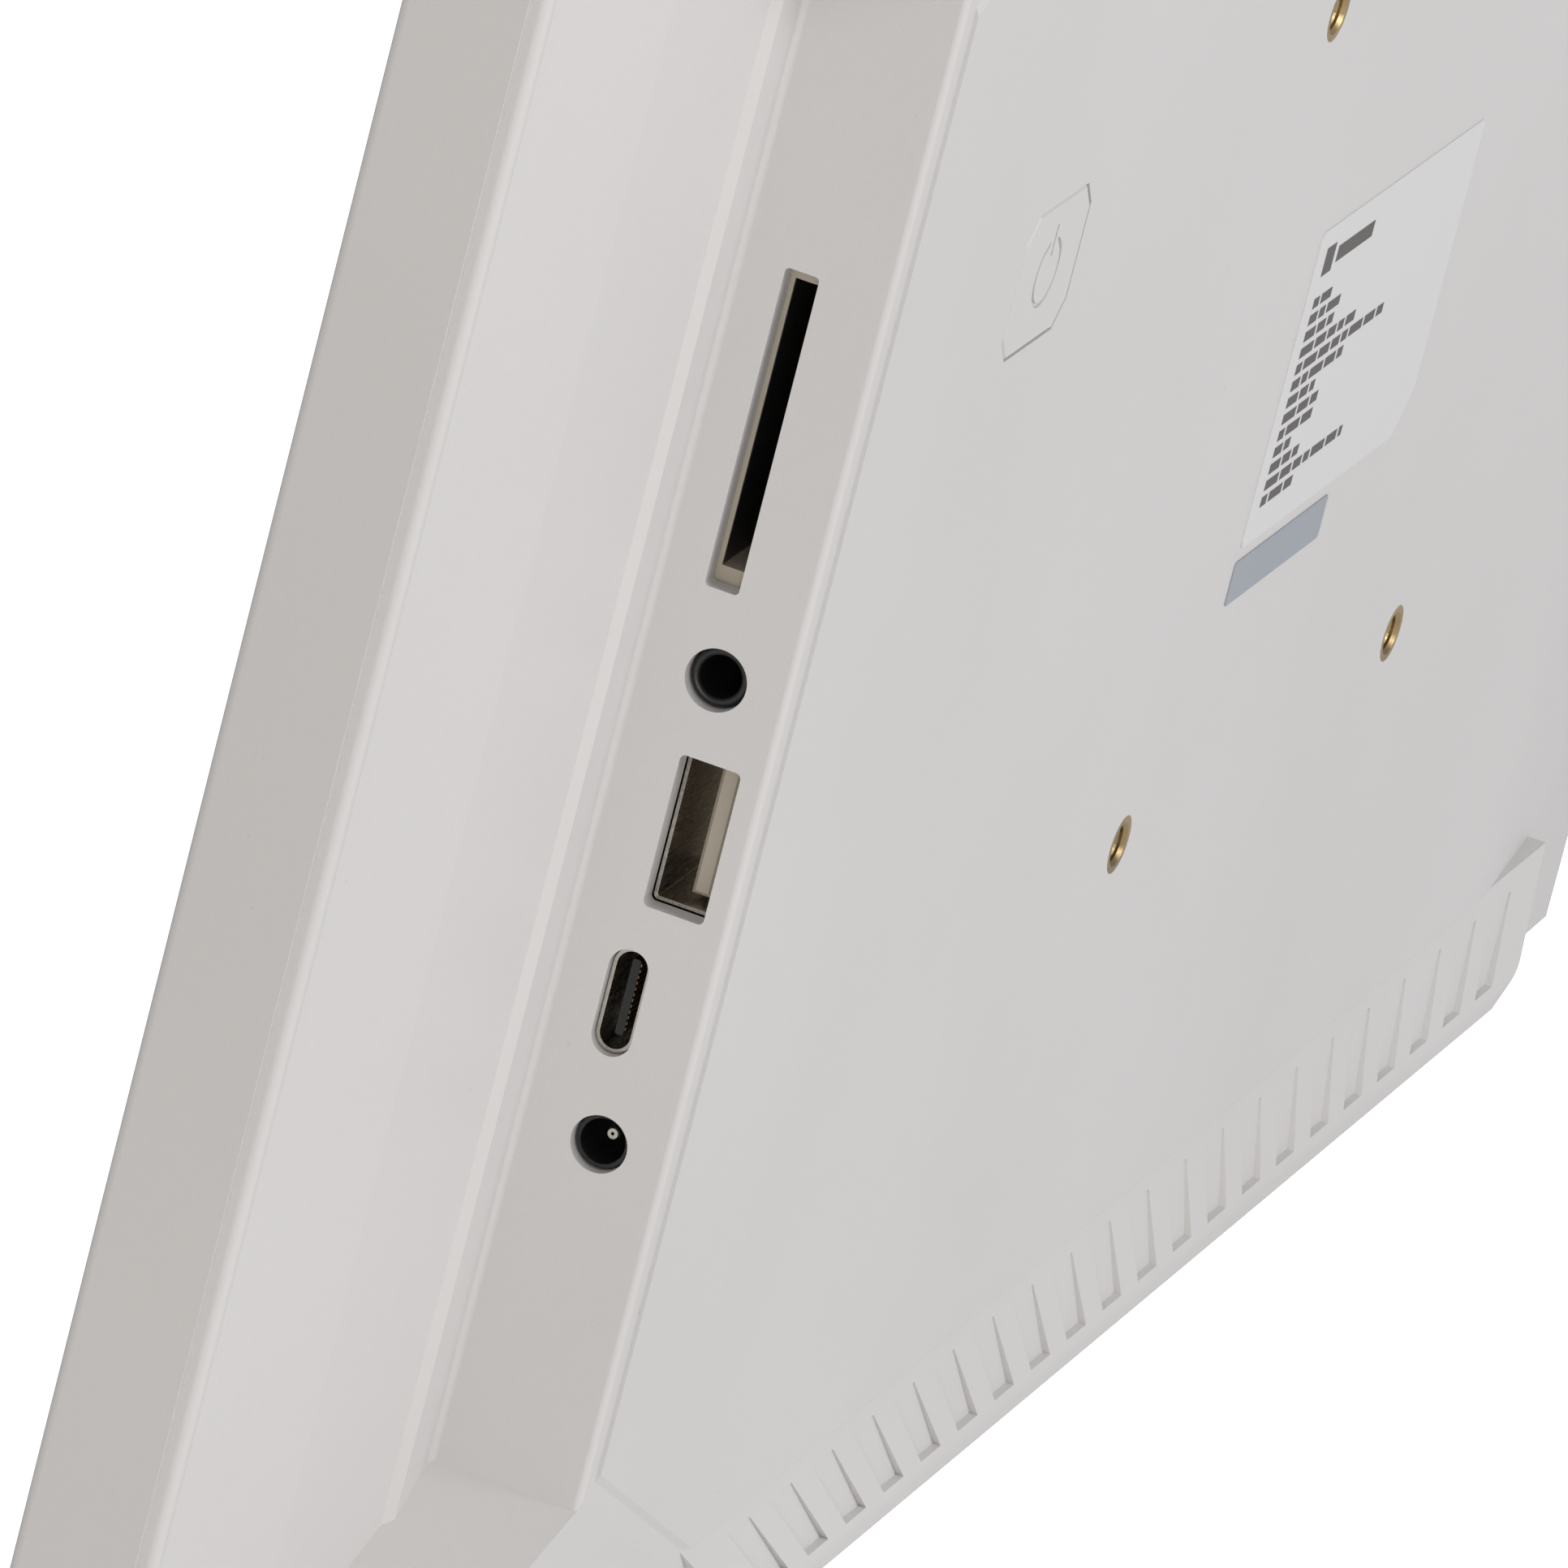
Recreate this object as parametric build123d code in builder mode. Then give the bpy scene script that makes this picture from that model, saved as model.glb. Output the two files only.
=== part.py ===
"""Digital photo frame, 15.6 inch: white frame, LCD module, rear cover with a port bay.

Millimetres. The origin is the centre of the VESA pattern on the flat back of the rear
cover. +Z is up, +Y points out of the back, and +X is the side that carries the ports.
"""
from build123d import *
from math import cos, hypot, radians, sin, tan
import os

os.makedirs("parts", exist_ok=True)

# ---------------------------------------------------------------- driving dimensions
frame_width = 390.0          # front frame, outside
frame_height = 240.0
frame_depth = 10.0           # side band of the front frame
frame_corner = 2.5
frame_wall = 2.2
face_thickness = 2.2         # front wall around the picture
rail_width = 15.0            # visible width of the front rails

seam_depth = 22.4            # back plane of the front frame, below the plateau
cover_wall = 2.0
cover_edge = 0.4             # the cover stands back from the frame's side
rim_thickness = 1.6          # flat rim of the cover, lying on the frame
rim_groove = 1.4             # from the rim's edge to where the cover rises
side_draft = 10.0            # lean of the cover's short side walls, degrees
panel_rise = 0.35            # the plateau stands this far above the cover around it

panel_half_width = 149.3     # raised plateau
panel_half_height = 78.8
panel_cut_x = 31.4           # the plateau's cut corners
panel_cut_z = 15.4
corner_bevel = 0.8           # bevel of the plateau at the cut corners on the port side
corner_drop = 0.2            # fall of the lip at the ends of the port wall
corner_slope = 11.4
far_fold_x = -98.0           # the back falls away beyond this line
far_slope = 6.0              # and a second time, steeper, just outside the plateau
far_lip = 0.4
fold_radius = 110.0
lip_width = 2.5              # between the plateau and the port wall

notch_half_height = 65.2     # port bay, along the port wall
notch_flare = 34.0           # its end walls open outwards, degrees
port_wall_depth = 13.0       # port wall, below the lip
ledge_width = 5.5
ledge_step = 0.8
bay_slope = 9.7
bay_crease = 1.6             # the bay floor turns a little steeper beyond its middle

ridge_length = 235.8         # foot ridge along the bottom, at its upper edge
ridge_fall = 9.0             # from the plateau's edge down to the crest
ridge_rise = 3.3             # crest above the lip level
ridge_back = 5.2             # from the crest down to the sloping underside
fan_radius = 84.0            # the recesses point at a centre this far below
pad_count = 21
pad_pitch = 10.0
pad_width = 5.3
pad_start = 1.6
pad_length = 6.3
pad_depth_top = 0.12
pad_depth_bottom = 0.5

vesa_pitch = 75.0
insert_radius = 2.6          # M4 brass insert
insert_length = 8.0
insert_tap_radius = 1.65     # tapping size of M4
insert_rim = 0.35
boss_wall = 2.0

active_width = 344.2         # picture area
active_height = 193.6
cell_border = 4.0
glass_thickness = 1.1
mask_thickness = 0.5
cell_thickness = 1.2
film_thickness = 0.5
guide_thickness = 2.0
sheet_thickness = 0.2
tray_thickness = 0.5
glass_overlap = 2.0          # the glass reaches under the rails
fit_gap = 0.2                # between parts that drop in

board_drop = 7.05            # from the inside of the plateau wall to the main board
board_thickness = 1.6
board_width = 80.0
board_top = 48.0
board_bottom = -50.0
board_hole_inset = 5.0
screw_radius = 1.25          # M2.5 board screws
screw_head_radius = 2.4
screw_head = 1.5

button_x, button_z = 109.0, 31.4
button_width = 16.0
button_height = 12.4
button_cut = 2.2
button_gap = 0.15
button_travel = 0.3
switch_height = 3.5
plunger_height = 1.1
plunger_radius = 1.75

sd_z, sd_rise = 25.4, 1.5     # each socket's middle stands this far above the board
sd_slot_length, sd_slot_height = 27.0, 2.9
jack_z, jack_rise = 4.7, 2.9
jack_hole_radius = 2.6
jack_bore_radius = 1.8
usb_a_z, usb_a_rise = -8.5, 4.25
usb_a_length, usb_a_height = 13.0, 5.2
usb_a_depth = 14.0
usb_c_z, usb_c_rise = -23.4, 1.9
usb_c_length, usb_c_height = 9.1, 3.4
dc_z, dc_rise = -35.2, 3.1
dc_hole_radius = 2.4
dc_bore_radius = 1.9
dc_pin_radius = 0.55
dc_pin_recess = 3.3          # its tip, inside the port wall
dc_pin_eye = 0.15
metal = 0.3                  # sheet metal of the socket shells
usb_a_recess = 2.2           # how far inside the port wall each socket ends
usb_c_recess = 0.9
jack_recess = 1.2
dc_recess = 1.0
usb_c_depth = 8.6
jack_length, jack_width, jack_height = 12.5, 6.8, 5.7
jack_bore_length = 13.0
dc_length, dc_width, dc_height = 11.5, 7.4, 5.8
dc_bore_length = 9.0
sd_length, sd_width = 27.5, 28.6
sd_floor, sd_height = 0.45, 2.65
card_width = 24.4
card_travel = 4.0
slider_length = 3.5

tongue_thickness = 1.2       # of the cover, inside the front frame
tongue_depth = 2.0
hook_xs = (-150.0, -75.0, 0.0, 75.0, 150.0)
hook_zs = (-75.0, 0.0, 75.0)
hook_length, hook_height, hook_reach = 10.0, 0.9, 0.5

switch_size = 6.2
plunger_seat = 1.0
collar_reach, collar_thickness = 1.4, 1.0
stem_radius = 2.0
symbol_radius, symbol_line, symbol_depth = 2.8, 0.42, 0.2

rib_thickness = 1.5
bracket_z, bracket_gap = 60.0, 0.1
bracket_thickness, bracket_height, bracket_lap = 0.8, 16.0, 10.0
bracket_screw_radius, bracket_head_radius, bracket_head = 1.1, 2.0, 1.1
post_radius = 2.9
screw_bite = 5.0
boss_radius = 2.9

led_strip, led_size, led_count = 1.2, 1.5, 36
mould_wall = 1.0
foam_thickness = 2.6
timing_x, timing_z = 40.0, -90.0
timing_length, timing_height, timing_thickness = 150.0, 14.0, 1.0
cable_x, cable_width, cable_thickness = 88.0, 18.0, 0.35
cable_drop = 20.0            # the cable is down at the tray this far below its socket
plug_height = 1.4
lead_x, lead_radius = 88.0, 0.7
chip_x, chip_z, chip_height = 100.0, 2.0, 1.3
spreader_size, spreader_thickness, fin_height = 22.0, 1.2, 2.6
wifi_x, wifi_z = 83.0, 30.0
can_height = 5.0
antenna_x, antenna_z = 40.0, 62.0

speaker_x, speaker_lift = 80.0, 1.8
speaker_length, speaker_width, speaker_depth = 50.0, 17.0, 11.0
speaker_back_y = -5.0
speaker_ear, ear_width, ear_thickness = 7.0, 8.0, 2.0
slot_length, slot_width, slot_pitch, slot_rows = 30.0, 1.6, 3.6, 4
slot_drop = -12.0            # middle of the sound slots, from the ridge's foot
label_thickness = 0.12

# ---------------------------------------------------------------- derived levels
lip_y = -panel_rise
seam_y = -seam_depth
front_y = seam_y - frame_depth
face_back_y = front_y + face_thickness
glass_back_y = face_back_y + glass_thickness
mask_back_y = glass_back_y + mask_thickness
cell_back_y = mask_back_y + cell_thickness
film_back_y = cell_back_y + film_thickness
guide_back_y = film_back_y + guide_thickness
reflector_back_y = guide_back_y + sheet_thickness
tray_back_y = reflector_back_y + tray_thickness
rise_y = seam_y + rim_thickness                      # where the cover leaves its rim
inner_y = lip_y - cover_wall                         # inside face of the plateau wall

cover_width = frame_width - 2 * cover_edge
cover_height = frame_height - 2 * cover_edge
rise_half_width = cover_width / 2 - rim_groove
rise_half_height = cover_height / 2 - rim_groove
port_wall_x = panel_half_width + lip_width
port_inner_x = port_wall_x - cover_wall
foot_y = lip_y - port_wall_depth
cut_length = hypot(panel_cut_x, panel_cut_z)
cut_out_x, cut_out_z = panel_cut_z / cut_length, panel_cut_x / cut_length
crest_y = lip_y + ridge_rise
crest_z = -panel_half_height - ridge_fall
underside_z = crest_z - ridge_back
underside_y = crest_y - ridge_back * 1.2
window_width = frame_width - 2 * rail_width
window_height = frame_height - 2 * rail_width
glass_width = window_width + 2 * glass_overlap
glass_height = window_height + 2 * glass_overlap
cell_width = active_width + 2 * cell_border
cell_height = active_height + 2 * cell_border
board_right = port_inner_x - fit_gap
board_left = board_right - board_width
board_back = inner_y - board_drop                    # component side of the main board
board_front = board_back - board_thickness
sd_y, sd_lid_y = board_back + sd_rise, board_back + sd_height
jack_y, jack_top_y = board_back + jack_rise, board_back + jack_height
usb_a_y, usb_c_y = board_back + usb_a_rise, board_back + usb_c_rise
dc_y, dc_top_y = board_back + dc_rise, board_back + dc_height
bracket_x = rise_half_width - cover_wall - post_radius - bracket_gap
speaker_z = speaker_lift - panel_half_height
tongue_width = frame_width - 2 * frame_wall - 2 * fit_gap
tongue_height = frame_height - 2 * frame_wall - 2 * fit_gap
hook_y = seam_y - tongue_depth + 0.1
rib_width, rib_height = glass_width + 2 * fit_gap, glass_height + 2 * fit_gap
rib_back_y = tray_back_y - 0.8
ear_back_y = speaker_back_y - 2.0
mould_width, mould_height = (size + 2 * (fit_gap + mould_wall) for size in (cell_width, cell_height))
tray_width, tray_height = (size + 2 * tray_thickness + 0.1 for size in (mould_width, mould_height))
guide_width, guide_area_height = active_width + 2.4, active_height + 2.4
led_height = led_strip + led_size + 0.1
guide_height = guide_area_height - led_height


def at_depth(y):
    """Drawing plane facing the front, at depth y: sketch x, y are X, Z; extruding goes to -Y."""
    return Plane.XZ.offset(-y)


def at_side(x):
    """Drawing plane facing +X: sketch x, y are Y, Z."""
    return Plane.YZ.offset(x)


def at_height(z):
    """Drawing plane facing up: sketch x, y are X, Y."""
    return Plane.XY.offset(z)


def finish(piece, name):
    """Name a finished piece and write it out."""
    piece.part.label = name
    export_step(piece.part, f"parts/{name}.step")


# ---------------------------------------------------------------- shapes of the rear cover
def slope_faces(inset):
    """Planes that bound the cover's body, moved inwards by the wall for its inside."""
    far_end_x = -panel_half_width - far_lip
    far_run = rise_half_width + far_end_x
    far_tilt = radians(far_slope)
    far_end_y = lip_y - (far_fold_x - far_end_x) * tan(far_tilt)
    top_run = rise_half_height - panel_half_height - lip_width
    under_run = rise_half_height + underside_z
    drop = lip_y - rise_y
    under_drop = underside_y - rise_y
    draft = radians(side_draft)
    tilt = radians(corner_slope)
    faces = [
        ((far_fold_x, lip_y, 0), (-sin(far_tilt), cos(far_tilt), 0)),
        ((far_end_x, far_end_y, 0), (rise_y - far_end_y, far_run, 0)),
        ((0, lip_y, panel_half_height + lip_width), (0, top_run, drop)),
        ((0, underside_y, underside_z), (0, under_run, -under_drop)),
        ((rise_half_width, rise_y, 0), (cos(draft), sin(draft), 0)),
        ((-rise_half_width, rise_y, 0), (-cos(draft), sin(draft), 0)),
        ((0, rise_y, rise_half_height), (0, sin(draft), cos(draft))),
        ((0, rise_y, -rise_half_height), (0, sin(draft), -cos(draft))),
    ]
    for side in (-1, 1):
        corner = (port_wall_x, lip_y - corner_drop, side * notch_half_height)
        outward = (sin(tilt) * cut_out_x, cos(tilt), side * sin(tilt) * cut_out_z)
        faces.append((corner, outward))
    planes = []
    for point, outward in faces:
        normal = Vector(*outward).normalized()
        planes.append(Plane(origin=Vector(*point) - normal * inset, z_dir=normal))
    return planes


def cover_body(inset):
    """Solid body of the cover above its rim; the plateau folds softly to the far slope."""
    with BuildPart() as body:
        with BuildSketch(at_depth(seam_y)):
            RectangleRounded(
                2 * (rise_half_width - inset), 2 * (rise_half_height - inset), frame_corner
            )
        extrude(amount=-(seam_depth - panel_rise - inset))
        for plane in slope_faces(inset):
            split(bisect_by=plane, keep=Keep.BOTTOM)
        fold = body.edges().filter_by(Axis.Z).sort_by(Axis.Y)[-2:].sort_by(Axis.X)[0]
        fillet(fold, fold_radius - inset)
    return body.part


def foot_ridge(inset):
    """Raised bar along the bottom; its ends follow the fan of the recesses."""
    top_z = -panel_half_height - inset
    lean = ridge_length / 2 / fan_radius
    with BuildPart() as ridge:
        with BuildSketch(at_side(-ridge_length / 2 + inset)):
            with BuildLine():
                Polyline(
                    (lip_y - inset - 6, top_z),
                    (lip_y - inset, top_z),
                    (crest_y - inset, crest_z + 0.6),
                    (crest_y - inset - 0.5, crest_z - 2.2),
                    (underside_y - inset, underside_z + inset),
                    (lip_y - inset - 6, underside_z + inset),
                    close=True,
                )
            make_face()
        extrude(amount=ridge_length - 2 * inset)
        crest_edges = ridge.edges().filter_by(Axis.X).group_by(Axis.Y)[-1]
        fillet(crest_edges, 3.0)
        for side in (-1, 1):
            end = Plane(
                origin=(side * (ridge_length / 2 - inset), 0, -panel_half_height),
                z_dir=(side, 0, -lean),
            )
            split(bisect_by=end, keep=Keep.BOTTOM)
    return ridge.part


def port_bay(margin):
    """Space of the port bay: a flared notch, open at the side and the back."""
    reach = frame_width
    spread = (reach - port_wall_x) * tan(radians(notch_flare))
    half = notch_half_height + margin
    wall_x = port_wall_x - margin
    floor_y = foot_y - margin
    ledge_x = port_wall_x + ledge_width
    low_y = floor_y - ledge_step
    mid_x = (ledge_x + rise_half_width) / 2
    mid_y = low_y - (mid_x - ledge_x) * tan(radians(bay_slope)) + bay_crease / 4
    edge_y = rise_y - margin
    with BuildPart() as bay:
        with BuildSketch(at_depth(20)):
            Polygon(
                (wall_x, -half), (wall_x, half), (reach, half + spread), (reach, -half - spread),
                align=None,
            )
        extrude(amount=20 + seam_depth)
        with BuildSketch(at_height(-frame_height)):
            with BuildLine():
                Polyline(
                    (wall_x, 20), (wall_x, floor_y), (ledge_x, floor_y),
                    (ledge_x + ledge_step, low_y), (mid_x, mid_y), (rise_half_width, edge_y),
                    (reach, edge_y), (reach, 20), close=True,
                )
            make_face()
        extrude(amount=2 * frame_height, mode=Mode.INTERSECT)
    return bay.part


def plateau():
    """Raised panel in the middle of the back, with cut corners, folded like the cover."""
    with BuildPart() as panel:
        with BuildSketch(at_depth(0)):
            Rectangle(2 * panel_half_width, 2 * panel_half_height)
        extrude(amount=-lip_y + 20)
        for side_x in (-1, 1):
            for side_z in (-1, 1):
                cut = Plane(
                    origin=(side_x * panel_half_width, 0,
                            side_z * (panel_half_height - panel_cut_z)),
                    z_dir=(side_x * cut_out_x, 0, side_z * cut_out_z),
                )
                split(bisect_by=cut, keep=Keep.BOTTOM)
        far = slope_faces(-panel_rise)[0]
        split(bisect_by=far, keep=Keep.BOTTOM)
        fold = panel.edges().filter_by(Axis.Z).sort_by(Axis.Y)[-2:].sort_by(Axis.X)[0]
        fillet(fold, fold_radius + panel_rise)
        top = panel.faces().sort_by(Axis.Y)[-1]
        bevelled = top.edges().filter_by(lambda e: e.center().X > 0 and abs(e.tangent_at(0).X) > 0.1
                                         and abs(e.tangent_at(0).Z) > 0.1)
        chamfer(bevelled, corner_bevel, panel_rise + 0.1, reference=top)
    return panel.part


# ---------------------------------------------------------------- places inside
board_holes = [
    (board_left + board_hole_inset, board_bottom + board_hole_inset),
    (board_left + board_hole_inset, board_top - board_hole_inset),
    (board_right - board_hole_inset, board_bottom + board_hole_inset),
    (board_right - board_hole_inset, board_top - board_hole_inset),
]
speaker_places = [(-speaker_x, speaker_z), (speaker_x, speaker_z)]
speaker_ears = [
    (x + side * (speaker_length + speaker_ear) / 2, z) for x, z in speaker_places for side in (-1, 1)
]
bracket_places = [(side * bracket_x, up * bracket_z) for side in (-1, 1) for up in (-1, 1)]


def fan_recesses():
    """Row of blind recesses on the ridge, each between two rays of the fan."""
    middle = pad_start + pad_length / 2
    floor_tilt = (pad_depth_bottom - pad_depth_top) / pad_length
    rise = ridge_rise / ridge_fall - floor_tilt
    floor = Plane(
        origin=(0, lip_y + pad_start * ridge_rise / ridge_fall - pad_depth_top,
                -panel_half_height - pad_start),
        z_dir=(0, 1, rise),
    )
    with BuildPart() as recesses:
        with BuildSketch(at_depth(20)):
            for index in range(pad_count):
                x = (index - (pad_count - 1) / 2) * pad_pitch
                corners = []
                for edge, down in ((-1, 0), (1, 0), (1, 1), (-1, 1)):
                    fall = pad_start + down * pad_length
                    share = (fan_radius - fall) / (fan_radius - middle)
                    corners.append(((x + edge * pad_width / 2) * share, -panel_half_height - fall))
                Polygon(*corners, align=None)
        extrude(amount=20 + seam_depth)
        split(bisect_by=floor, keep=Keep.TOP)
    return recesses.part


# ---------------------------------------------------------------- rear cover
with BuildPart() as rear_cover:
    with BuildSketch(at_depth(rise_y)):
        RectangleRounded(cover_width, cover_height, frame_corner)
    extrude(amount=rim_thickness)
    fillet(rear_cover.edges().group_by(Axis.Y)[-1], rim_thickness * 0.55)
    add(cover_body(0))
    add(foot_ridge(0))
    add(plateau())
    add(port_bay(0), mode=Mode.SUBTRACT)
    add(fan_recesses(), mode=Mode.SUBTRACT)
    wall_edges = rear_cover.edges().filter_by(Axis.Z).filter_by(
        lambda e: abs(e.center().X - port_wall_x) < 0.01 and abs(e.length - 2 * notch_half_height) < 8
    )
    fillet(wall_edges, 0.6)

    # the inside follows the outside at wall thickness
    hollow = cover_body(cover_wall) + foot_ridge(cover_wall) - port_bay(cover_wall)
    add(hollow, mode=Mode.SUBTRACT)

    # tongue that drops inside the front frame, with a row of snap hooks
    with BuildSketch(at_depth(seam_y)):
        RectangleRounded(tongue_width, tongue_height, frame_corner - 1)
        RectangleRounded(
            tongue_width - 2 * tongue_thickness, tongue_height - 2 * tongue_thickness, 1,
            mode=Mode.SUBTRACT,
        )
    extrude(amount=tongue_depth)
    with BuildSketch(at_depth(hook_y + hook_height)):
        for x in hook_xs:
            with Locations((x, tongue_height / 2), (x, -tongue_height / 2)):
                Rectangle(hook_length, 2 * hook_reach)
        for z in hook_zs:
            with Locations((tongue_width / 2, z), (-tongue_width / 2, z)):
                Rectangle(2 * hook_reach, hook_length)
        RectangleRounded(
            tongue_width - tongue_thickness, tongue_height - tongue_thickness, 1, mode=Mode.SUBTRACT
        )
    extrude(amount=hook_height)

    # screw bosses for the board and the speakers, and blind bosses for the inserts
    for holes, boss_end in ((board_holes, board_back), (speaker_ears, ear_back_y)):
        with BuildSketch(at_depth(inner_y + 0.5)):
            with Locations(*holes):
                Circle(boss_radius)
        extrude(amount=inner_y + 0.5 - boss_end)
        with BuildSketch(at_depth(boss_end + screw_bite)):
            with Locations(*holes):
                Circle(screw_radius - 0.2)
        extrude(amount=screw_bite, mode=Mode.SUBTRACT)
    with BuildSketch(at_depth(inner_y + 0.5)):
        with GridLocations(vesa_pitch, vesa_pitch, 2, 2):
            Circle(insert_radius + boss_wall)
    extrude(amount=insert_length + cover_wall)
    with BuildSketch(at_depth(0)):
        with GridLocations(vesa_pitch, vesa_pitch, 2, 2):
            Circle(insert_radius)
    extrude(amount=insert_length, mode=Mode.SUBTRACT)

    # openings of the port wall
    with BuildSketch(at_side(port_inner_x - 1)):
        with Locations((sd_y, sd_z)):
            RectangleRounded(sd_slot_height, sd_slot_length, 0.4)
        with Locations((jack_y, jack_z)):
            Circle(jack_hole_radius)
        with Locations((usb_a_y, usb_a_z)):
            RectangleRounded(usb_a_height, usb_a_length, 0.5)
        with Locations((usb_c_y, usb_c_z)):
            SlotOverall(usb_c_length, usb_c_height, rotation=90)
        with Locations((dc_y, dc_z)):
            Circle(dc_hole_radius)
    extrude(amount=cover_wall + 2, mode=Mode.SUBTRACT)

    # window of the power button
    with BuildSketch(at_depth(1)):
        with Locations((button_x, button_z)):
            Rectangle(button_width + 2 * button_gap, button_height + 2 * button_gap)
        chamfer(vertices(), button_cut)
    extrude(amount=1 + cover_wall + 1, mode=Mode.SUBTRACT)

    # sound slots in the sloping underside, below each speaker
    with BuildSketch(at_depth(0)):
        for x, z in speaker_places:
            with Locations((x, underside_z + slot_drop)):
                with GridLocations(0, slot_pitch, 1, slot_rows):
                    SlotOverall(slot_length, slot_width)
    extrude(amount=seam_depth - rim_thickness, mode=Mode.SUBTRACT)
finish(rear_cover, "rear_cover")

with BuildPart() as vesa_inserts:
    with BuildSketch(at_depth(0)):
        with GridLocations(vesa_pitch, vesa_pitch, 2, 2):
            Circle(insert_radius)
            Circle(insert_tap_radius, mode=Mode.SUBTRACT)
    extrude(amount=insert_length)
    mouths = vesa_inserts.edges().filter_by(GeomType.CIRCLE).group_by(Axis.Y)[-1]
    chamfer(mouths.filter_by(lambda e: e.radius < insert_radius - 0.1), insert_rim)
finish(vesa_inserts, "vesa_inserts")

# ---------------------------------------------------------------- power button and its switch
button_front_y = inner_y - 0.05
collar_front_y = button_front_y - collar_thickness
plunger_back_y = board_back + switch_height + plunger_height
with BuildPart() as power_button:
    with BuildSketch(at_depth(0)):
        with Locations((button_x, button_z)):
            Rectangle(button_width, button_height)
        chamfer(vertices(), button_cut)
    extrude(amount=-button_front_y)
    chamfer(power_button.edges().group_by(Axis.Y)[-1], 0.2)
    with BuildSketch(at_depth(button_front_y)):
        with Locations((button_x, button_z)):
            Rectangle(button_width + 2 * collar_reach, button_height + 2 * collar_reach)
        chamfer(vertices(), button_cut)
    extrude(amount=collar_thickness)
    with BuildSketch(at_depth(collar_front_y)):
        with Locations((button_x, button_z)):
            Circle(stem_radius)
    extrude(amount=collar_front_y - plunger_back_y - 0.02)
    # engraved power symbol: a ring open at the top, and a bar
    with BuildSketch(at_depth(0)):
        with Locations((button_x, button_z)):
            Circle(symbol_radius + symbol_line / 2)
            Circle(symbol_radius - symbol_line / 2, mode=Mode.SUBTRACT)
        with Locations((button_x, button_z + symbol_radius)):
            Rectangle(4 * symbol_line, 3 * symbol_line, mode=Mode.SUBTRACT)
            Rectangle(symbol_line, symbol_radius)
    extrude(amount=symbol_depth, mode=Mode.SUBTRACT)
finish(power_button, "power_button")

with BuildPart() as switch_body:
    with BuildSketch(at_depth(board_back + switch_height)):
        with Locations((button_x, button_z)):
            RectangleRounded(switch_size, switch_size, 0.4)
    extrude(amount=switch_height)
    with BuildSketch(at_depth(board_back + switch_height)):
        with Locations((button_x, button_z)):
            Circle(plunger_radius + 0.05)
    extrude(amount=plunger_seat, mode=Mode.SUBTRACT)
finish(switch_body, "switch_body")

with BuildPart() as switch_plunger:
    with BuildSketch(at_depth(plunger_back_y)):
        with Locations((button_x, button_z)):
            Circle(plunger_radius)
    extrude(amount=plunger_height + plunger_seat - button_travel - 0.1)
    chamfer(switch_plunger.edges().group_by(Axis.Y)[-1], 0.15)
finish(switch_plunger, "switch_plunger")

# ---------------------------------------------------------------- front frame and glass
with BuildPart() as front_frame:
    with BuildSketch(at_depth(seam_y)):
        RectangleRounded(frame_width, frame_height, frame_corner)
    extrude(amount=frame_depth)
    fillet(front_frame.edges().group_by(Axis.Y)[0], 0.8)
    with BuildSketch(at_depth(seam_y)):
        RectangleRounded(frame_width - 2 * frame_wall, frame_height - 2 * frame_wall, 1)
    extrude(amount=frame_depth - face_thickness, mode=Mode.SUBTRACT)
    with BuildSketch(at_depth(face_back_y)):
        Rectangle(window_width, window_height)
    extrude(amount=face_thickness, mode=Mode.SUBTRACT)
    window_edges = front_frame.faces().sort_by(Axis.Y)[0].inner_wires()[0].edges()
    chamfer(window_edges, length=1.2, length2=1.6)
    # rib that locates the glass and the LCD module
    with BuildSketch(at_depth(rib_back_y)):
        Rectangle(rib_width + 2 * rib_thickness, rib_height + 2 * rib_thickness)
        Rectangle(rib_width, rib_height, mode=Mode.SUBTRACT)
    extrude(amount=rib_back_y - face_back_y)
    # posts for the LCD brackets
    with BuildSketch(at_depth(tray_back_y)):
        with Locations(*bracket_places):
            Circle(post_radius)
    extrude(amount=tray_back_y - face_back_y)
    with BuildSketch(at_depth(tray_back_y)):
        with Locations(*bracket_places):
            Circle(bracket_screw_radius - 0.2)
    extrude(amount=screw_bite, mode=Mode.SUBTRACT)
    # catches for the snap hooks of the cover
    with BuildSketch(at_depth(hook_y + hook_height + 0.1)):
        for x in hook_xs:
            with Locations((x, tongue_height / 2), (x, -tongue_height / 2)):
                Rectangle(hook_length + 1, 2 * hook_reach + 0.4)
        for z in hook_zs:
            with Locations((tongue_width / 2, z), (-tongue_width / 2, z)):
                Rectangle(2 * hook_reach + 0.4, hook_length + 1)
    extrude(amount=hook_height + 0.2, mode=Mode.SUBTRACT)
finish(front_frame, "front_frame")


def slab(name, width, height, back, thickness, centre=(0, 0), opening=None):
    """Flat sheet parallel to the picture, with an optional rectangular opening."""
    with BuildPart() as sheet:
        with BuildSketch(at_depth(back)):
            with Locations(centre):
                Rectangle(width, height)
                if opening:
                    Rectangle(*opening, mode=Mode.SUBTRACT)
        extrude(amount=thickness)
    finish(sheet, name)


slab("cover_glass", glass_width, glass_height, glass_back_y, glass_thickness)
slab("border_mask", glass_width, glass_height, mask_back_y, mask_thickness,
     opening=(active_width, active_height))
slab("foam_gasket", glass_width, glass_height, mask_back_y + foam_thickness, foam_thickness,
     opening=(tray_width + 2 * fit_gap, tray_height + 2 * fit_gap))

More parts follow.
